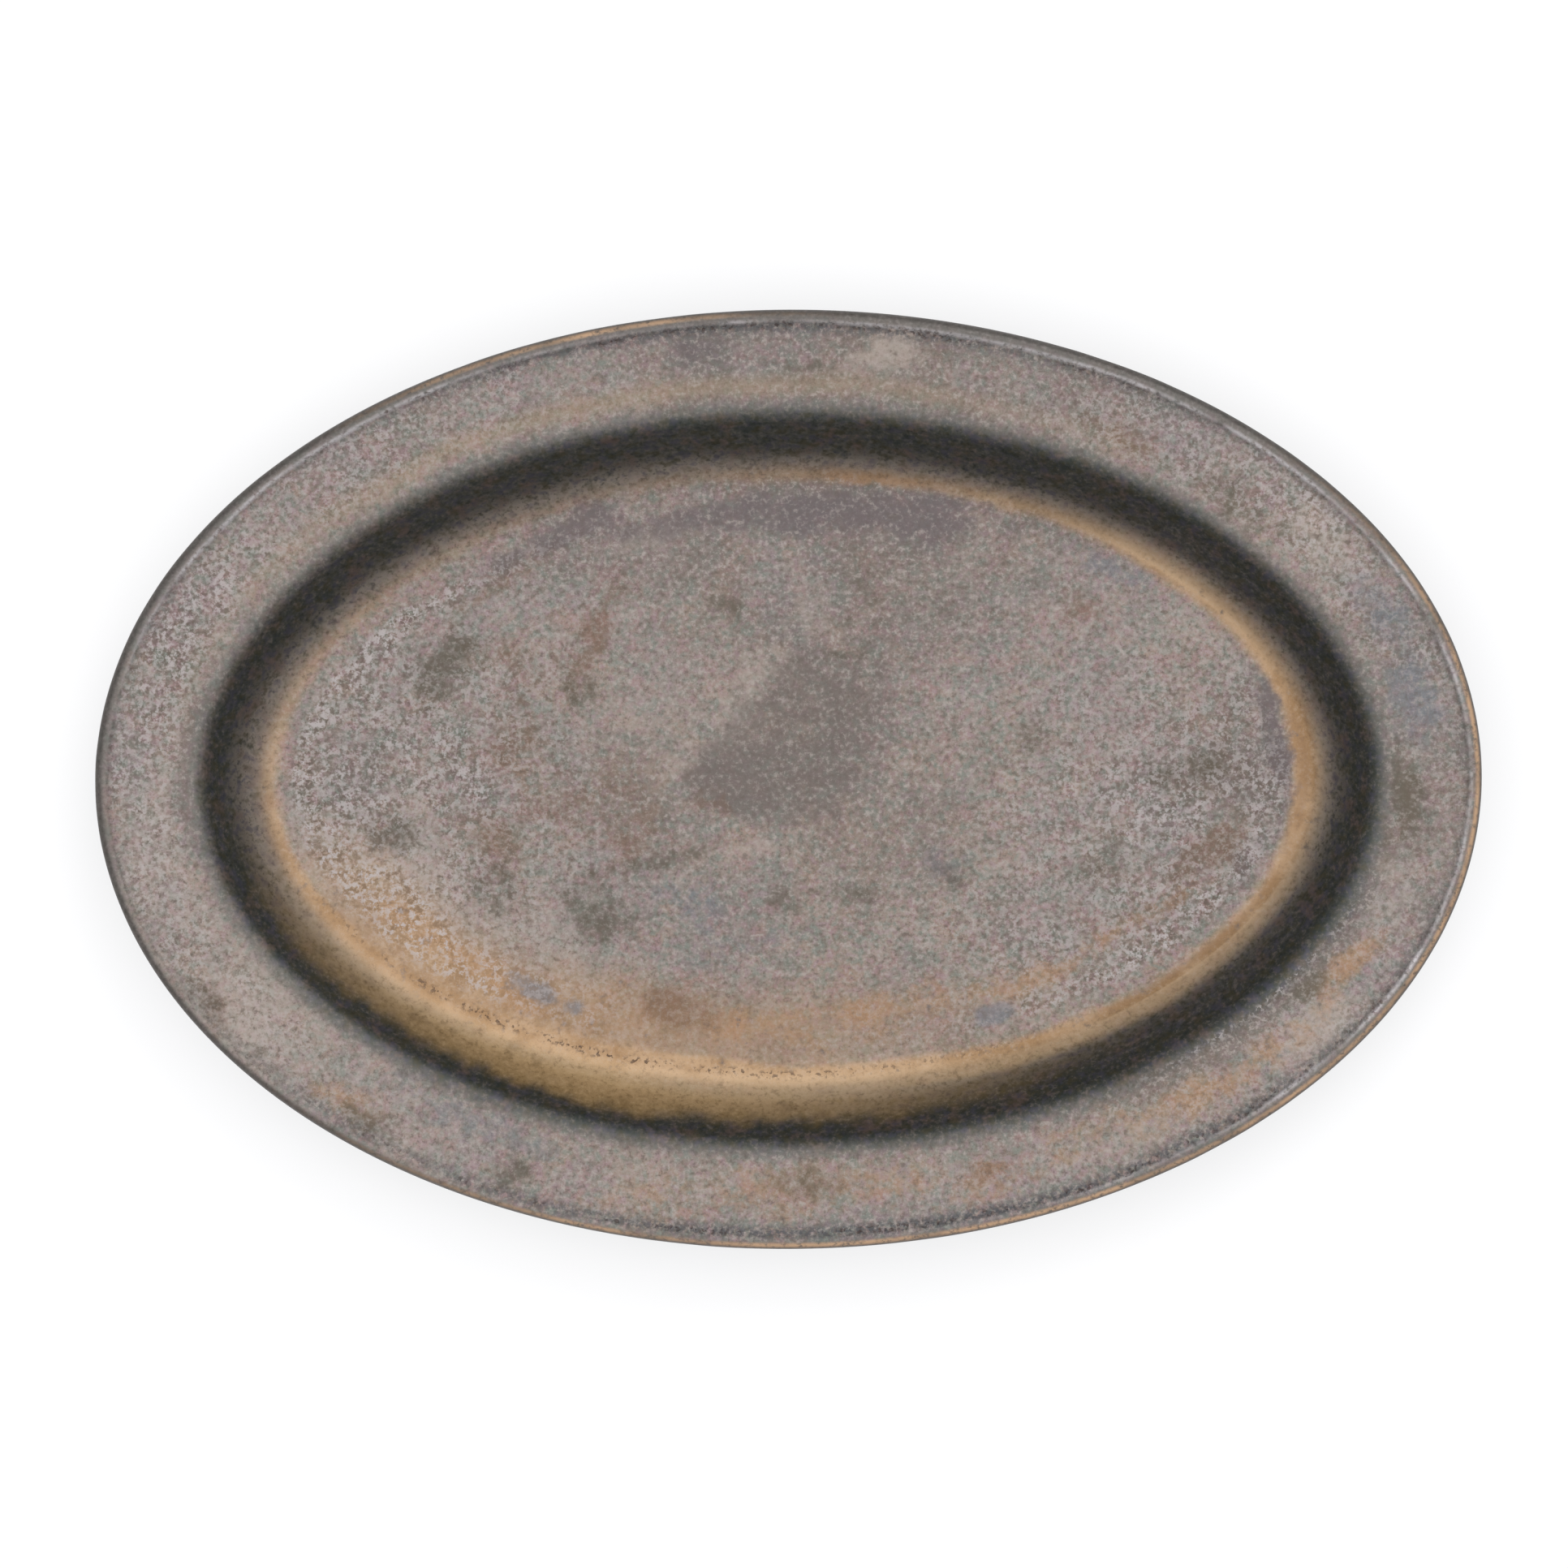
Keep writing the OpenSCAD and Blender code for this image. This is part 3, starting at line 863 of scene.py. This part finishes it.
def crystals(t):
    """How far each place is pale crystal, in short chains, and how far it is a gap between them."""
    chains = t.noise(1.15, 3, 0.68)
    clumps = t.spread(t.noise(3.8, 3, 0.6), 0.38, 0.6, 0.45, 1.0)
    grown = t.times(t.math("MINIMUM", t.plus(t.mask("crystals"), t.mask("rime")), 1.1), clumps)
    fleck = t.times(t.spread(chains, 0.49, 0.58), grown)
    gap = t.times(t.spread(chains, 0.48, 0.4), grown)
    return fleck, gap


def pinholes(t):
    """The small round pits in the glaze, a few here and a few there."""
    dots = t.spread(t.noise(1.1, 2, 0.55), 0.53, 0.63)
    return t.times(dots, t.spread(t.noise(7), 0.34, 0.54), t.mask("pits"))


def bronze_face_material():
    """The face's crystalline bronze glaze."""
    t = Tree("bronze_glaze_face")
    fine = t.noise(1.25, 3, 0.75)
    gold = t.mask("gold")
    dark_grain, pale_grain = paint(102, 92, 85), paint(176, 166, 160)

    # The level glaze, the pool and the marks, then the steep wall, too thin for crystals and darkened with
    # painted shade
    colour = t.grainy(level_glaze(t), fine, 0.62, dark_grain, pale_grain)
    colour = t.mix(gold, colour, pool_glaze(t, fine))
    colour = rim_lines(t, fired_marks(t, colour))
    colour = t.grainy(colour, fine, t.spread(gold, 0.0, 1.0, 0.4, 0.15), dark_grain, pale_grain)
    colour = t.mix(t.mask("bare"), colour, wall_glaze(t, fine))

    fleck, gap = crystals(t)
    behind = t.mix(gold, paint(98, 86, 79), paint(142, 114, 86))
    colour = t.mix(t.times(gap, 0.74), colour, behind)
    colour = t.mix(t.times(fleck, 0.74), colour, paint(197, 189, 188))
    colour = lip_glaze(t, colour)
    pit = pinholes(t)
    colour = t.mix(t.times(pit, 0.8), colour, paint(76, 62, 58))

    # The pool is glossier, and the crystals are duller
    roughness = t.plus(t.spread(gold, 0.0, 1.0, 0.46, 0.38), t.spread(fine, 0.3, 0.7, -0.05, 0.05))
    roughness = t.plus(roughness, t.times(fleck, 0.1))
    height = t.plus(t.times(fleck, 0.5), t.times(t.noise(1.6, 2, 0.5), 0.5))
    height = t.plus(height, t.times(pit, -1.5))
    return t.finish(colour, roughness, t.bump(height, GLAZE_BUMP), metallic=0.6)


def bronze_back_material():
    """The browner glaze of the back and of the recess inside the foot ring."""
    t = Tree("bronze_glaze_back")
    broad = t.noise(14, 3, 0.6)
    small = t.noise(2.2, 3, 0.65)
    colour = t.mix(t.spread(broad, 0.35, 0.65), paint(84, 70, 58), paint(112, 92, 74))
    colour = t.mix(t.spread(small, 0.5, 0.72, 0.0, 0.6), colour, paint(66, 58, 52))
    distance, shade = t.cells(1.0)
    speck = t.times(t.spread(distance, 0.45, 0.18), t.spread(shade, 0.6, 0.9), t.mask("crystals"))
    colour = t.mix(t.times(speck, 0.6), colour, paint(160, 146, 136))
    colour = t.mix(t.mask("thin"), colour, paint(104, 62, 40))
    colour = t.mix(t.mask("lip_dark"), colour, paint(84, 80, 76))
    roughness = t.spread(small, 0.3, 0.7, 0.3, 0.42)
    height = t.plus(t.times(t.noise(1.8, 2, 0.5), 0.6), t.times(speck, 0.4))
    return t.finish(colour, roughness, t.bump(height, GLAZE_BUMP), metallic=0.5)


def clay_material():
    """Bare stoneware: dark red-brown, gritty, rubbed paler where it stands."""
    t = Tree("bare_stoneware")
    broad = t.noise(9, 3, 0.6)
    grit = t.noise(0.5, 3, 0.7)
    colour = t.mix(t.spread(broad, 0.35, 0.65), earth(112, 78, 56), earth(134, 97, 72))
    colour = t.mix(t.spread(grit, 0.5, 0.7, 0.0, 0.7), colour, earth(84, 58, 44))
    distance, shade = t.cells(1.4)
    stone = t.times(t.spread(distance, 0.3, 0.15), t.spread(shade, 0.7, 0.8))
    colour = t.mix(stone, colour, earth(176, 150, 124))
    colour = t.mix(t.times(t.mask("rubbed"), 0.5), colour, earth(160, 126, 100))
    roughness = t.spread(grit, 0.3, 0.7, 0.72, 0.9)
    return t.finish(colour, roughness, t.bump(t.plus(grit, stone), CLAY_BUMP), metallic=0.0)


# --- The four pieces ----------------------------------------------------------------------------


def settle(piece, node, material):
    """Gives the piece its material and puts it in the CAD node's place."""
    piece.data.materials.append(material)
    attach(piece, "root")
    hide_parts(node)
    return piece


def face_glaze(material):
    """The crystalline bronze glaze on all that shows from above."""
    top = Rings(face_line(0, FACE_FINE), FACE).shrink(FLOOR_RINGS)
    under = Rings(face_line(GLAZE_T, HIDDEN_FINE), FACE).shrink(HIDDEN_RINGS)
    rows = stacked(flipped(under.lifted(0)), top.lifted(face_relief(top)))
    shown, hidden = face_masks(top), face_masks(under)
    masks = {name: stacked(flipped(hidden[name]), shown[name]) for name in shown}
    piece = closed_skin("bronze_glaze_face", rows, True, masks)
    return settle(piece, "face_glaze", material)


def back_masks(rings):
    """What the back's glaze does at each point."""
    drift = rough_wander(rings.x, rings.y, 9, 71)
    low = ease(rings.z + drift * 0.5, GLAZE_LINE + 1.4, GLAZE_LINE + 0.2)
    return dict(
        crystals=ease(steepness(rings), 40, 15) * np.clip(0.5 + drift, 0, 1),
        thin=low * ease(rings.inset, FOOT_INSET - 3, FOOT_INSET),
        lip_dark=ease(rings.inset, 3, 1) * ease(rings.z, PLATE_H - 5, PLATE_H - 3),
    )


def back_glaze(material):
    """The glaze under the rim and down the wall's back to the foot ring."""
    outer = Rings(back_line(0, BACK_FINE), BACK)
    inner = Rings(back_line(GLAZE_T, HIDDEN_FINE), BACK)
    edge_x, edge_y = outer.edge[:, 0], outer.edge[:, 1]
    swell = 0.1 * wander(outer.x, outer.y, 25, 81) + 0.05 * wander(edge_x, edge_y, 8, 82)
    # The thick roll in which the glaze stops above the foot
    roll = 0.22 * hump(outer.z, GLAZE_LINE + 0.55, 0.6)
    roll *= ease(outer.inset, FOOT_INSET - 1.5, FOOT_INSET - 0.2)
    rows = stacked(flipped(outer.lifted(swell * ease(outer.inset, 1, 6) + roll)), inner.lifted(0))
    shown, hidden = back_masks(outer), back_masks(inner)
    masks = {name: stacked(flipped(shown[name]), hidden[name]) for name in shown}
    piece = closed_skin("bronze_glaze_back", rows, False, masks)
    return settle(piece, "back_glaze", material)


def recess_glaze(material):
    """The patch of glaze inside the foot ring."""
    lower = Rings(recess_line(0, BACK_FINE), BACK).shrink(RECESS_RINGS)
    upper = Rings(recess_line(GLAZE_T, HIDDEN_FINE), BACK).shrink(HIDDEN_RINGS)
    swell = 0.1 * wander(lower.x, lower.y, 22, 91) + 0.04 * wander(lower.x, lower.y, 7, 92)
    rows = stacked(flipped(lower.lifted(swell)), upper.lifted(0))
    shown, hidden = back_masks(lower), back_masks(upper)
    masks = {name: stacked(flipped(shown[name]), hidden[name]) for name in shown}
    piece = closed_skin("bronze_glaze_recess", rows, True, masks)
    return settle(piece, "recess_glaze", material)


def stoneware_body(material):
    """The fired clay, bare only on the foot ring."""
    recess = Rings(recess_line(GLAZE_T, HIDDEN_FINE), BACK).shrink(HIDDEN_RINGS)
    foot = Rings(foot_line(FOOT_FINE), BACK)
    back = Rings(back_line(GLAZE_T, HIDDEN_FINE), BACK)
    face = Rings(face_line(GLAZE_T, HIDDEN_FINE), FACE).shrink(HIDDEN_RINGS)
    # The foot ring's face is rubbed back a little everywhere
    worn = 0.06 * wander(foot.x, foot.y, 5, 101) + 0.03 * wander(foot.x, foot.y, 1.7, 102)
    worn *= ease(foot.z, GLAZE_LINE, GLAZE_LINE - 0.5)
    rows = stacked(
        flipped(recess.lifted(0)),
        flipped(foot.lifted(worn - 0.1))[1:-1],
        flipped(back.lifted(0)),
        face.lifted(0)[1:],
    )
    rubbed = ease(rows[:, :, 2], 0.5, 0.05)
    piece = closed_skin("stoneware_body_bare", rows, True, {"rubbed": rubbed})
    return settle(piece, "stoneware_body", material)


# --- Studio -------------------------------------------------------------------------------------

# The floor's and the lights' sizes and distances are in metres, and the lights' powers in watts
FLOOR_SIZE = 12
FLOOR_COLOUR = (0.24, 0.24, 0.245, 1)
FLOOR_ROUGHNESS = 0.9
# How brightly the table, a sheet of lit white acrylic, glows by itself
FLOOR_GLOW = 0.62
WORLD_LIGHT = 0.8
WORLD_COLOUR = (0.98, 0.99, 1, 1)
SOFTBOX_SIZE = 2.2
SOFTBOX_HEIGHT = 1.35
SOFTBOX_POWER = 25
# The key light's compass direction and height above the horizon, in degrees
KEY_DIRECTION = 65
KEY_ELEVATION = 45
KEY_DISTANCE = 1.6
KEY_SIZE = 0.8
KEY_POWER = 6

# The camera looks nearly straight down: the point on the rim's level that it aims at, in mm, its
# lean from the vertical to the right and to the far side, its roll, and its distance
CAMERA_AIM = (0.03, -0.57, 24)
CAMERA_LEAN = (2.5, 2.5)
CAMERA_ROLL = -0.587
CAMERA_DISTANCE = 973.1
CAMERA_LENS = 100
SENSOR_WIDTH = 36


def floor_material():
    """A plain pale table that is lit from within, as under product photographs."""
    material = bpy.data.materials.new("studio_floor")
    material.use_nodes = True
    shader = material.node_tree.nodes["Principled BSDF"]
    shader.inputs["Base Color"].default_value = FLOOR_COLOUR
    shader.inputs["Roughness"].default_value = FLOOR_ROUGHNESS
    shader.inputs["Emission Color"].default_value = (1, 1, 1, 1)
    shader.inputs["Emission Strength"].default_value = FLOOR_GLOW
    return material


def studio_floor():
    """The pale floor that the plate stands on."""
    half = FLOOR_SIZE / 2
    corners = [(-half, -half, 0), (half, -half, 0), (half, half, 0), (-half, half, 0)]
    mesh = bpy.data.meshes.new("studio_floor")
    mesh.from_pydata(corners, [], [(0, 1, 2, 3)])
    mesh.materials.append(floor_material())
    floor = bpy.data.objects.new("studio_floor", mesh)
    bpy.context.scene.collection.objects.link(floor)


def soft_light(name, size, power, place):
    """A round soft light that shines from its place towards the plate."""
    light = bpy.data.lights.new(name, "AREA")
    light.shape = "DISK"
    light.size = size
    light.energy = power
    lamp = bpy.data.objects.new(name, light)
    lamp.location = place
    lamp.rotation_euler = (-Vector(place)).to_track_quat("-Z", "Y").to_euler()
    bpy.context.scene.collection.objects.link(lamp)


def studio_light():
    """A pale room, one large soft light overhead and a smaller one from the upper right."""
    world = bpy.data.worlds.new("studio")
    world.use_nodes = True
    background = world.node_tree.nodes["Background"]
    background.inputs["Color"].default_value = WORLD_COLOUR
    background.inputs["Strength"].default_value = WORLD_LIGHT
    bpy.context.scene.world = world
    soft_light("softbox", SOFTBOX_SIZE, SOFTBOX_POWER, (0, 0, SOFTBOX_HEIGHT))
    round_to, up_to = np.radians([KEY_DIRECTION, KEY_ELEVATION])
    way = np.array([np.cos(round_to) * np.cos(up_to), np.sin(round_to) * np.cos(up_to), np.sin(up_to)])
    soft_light("key", KEY_SIZE, KEY_POWER, (way * KEY_DISTANCE).tolist())


def studio_camera():
    """The camera at the photograph's viewing angle."""
    data = bpy.data.cameras.new("camera")
    data.lens = CAMERA_LENS
    data.sensor_width = SENSOR_WIDTH
    aim = Vector(CAMERA_AIM) * MM
    back = Vector((*np.tan(np.radians(CAMERA_LEAN)), 1)).normalized()
    right = Vector((0, 1, 0)).cross(back).normalized()
    up = back.cross(right)
    turned = Matrix.Rotation(np.radians(CAMERA_ROLL), 3, back)
    camera = bpy.data.objects.new("camera", data)
    axes = Matrix([turned @ right, turned @ up, back]).transposed().to_4x4()
    camera.matrix_world = Matrix.Translation(aim + back * CAMERA_DISTANCE * MM) @ axes
    bpy.context.scene.collection.objects.link(camera)
    bpy.context.scene.camera = camera


studio_camera()
studio_floor()
studio_light()
bpy.context.scene.view_settings.view_transform = "Standard"

face_glaze(bronze_face_material())
bronze_back = bronze_back_material()
back_glaze(bronze_back)
recess_glaze(bronze_back)
stoneware_body(clay_material())
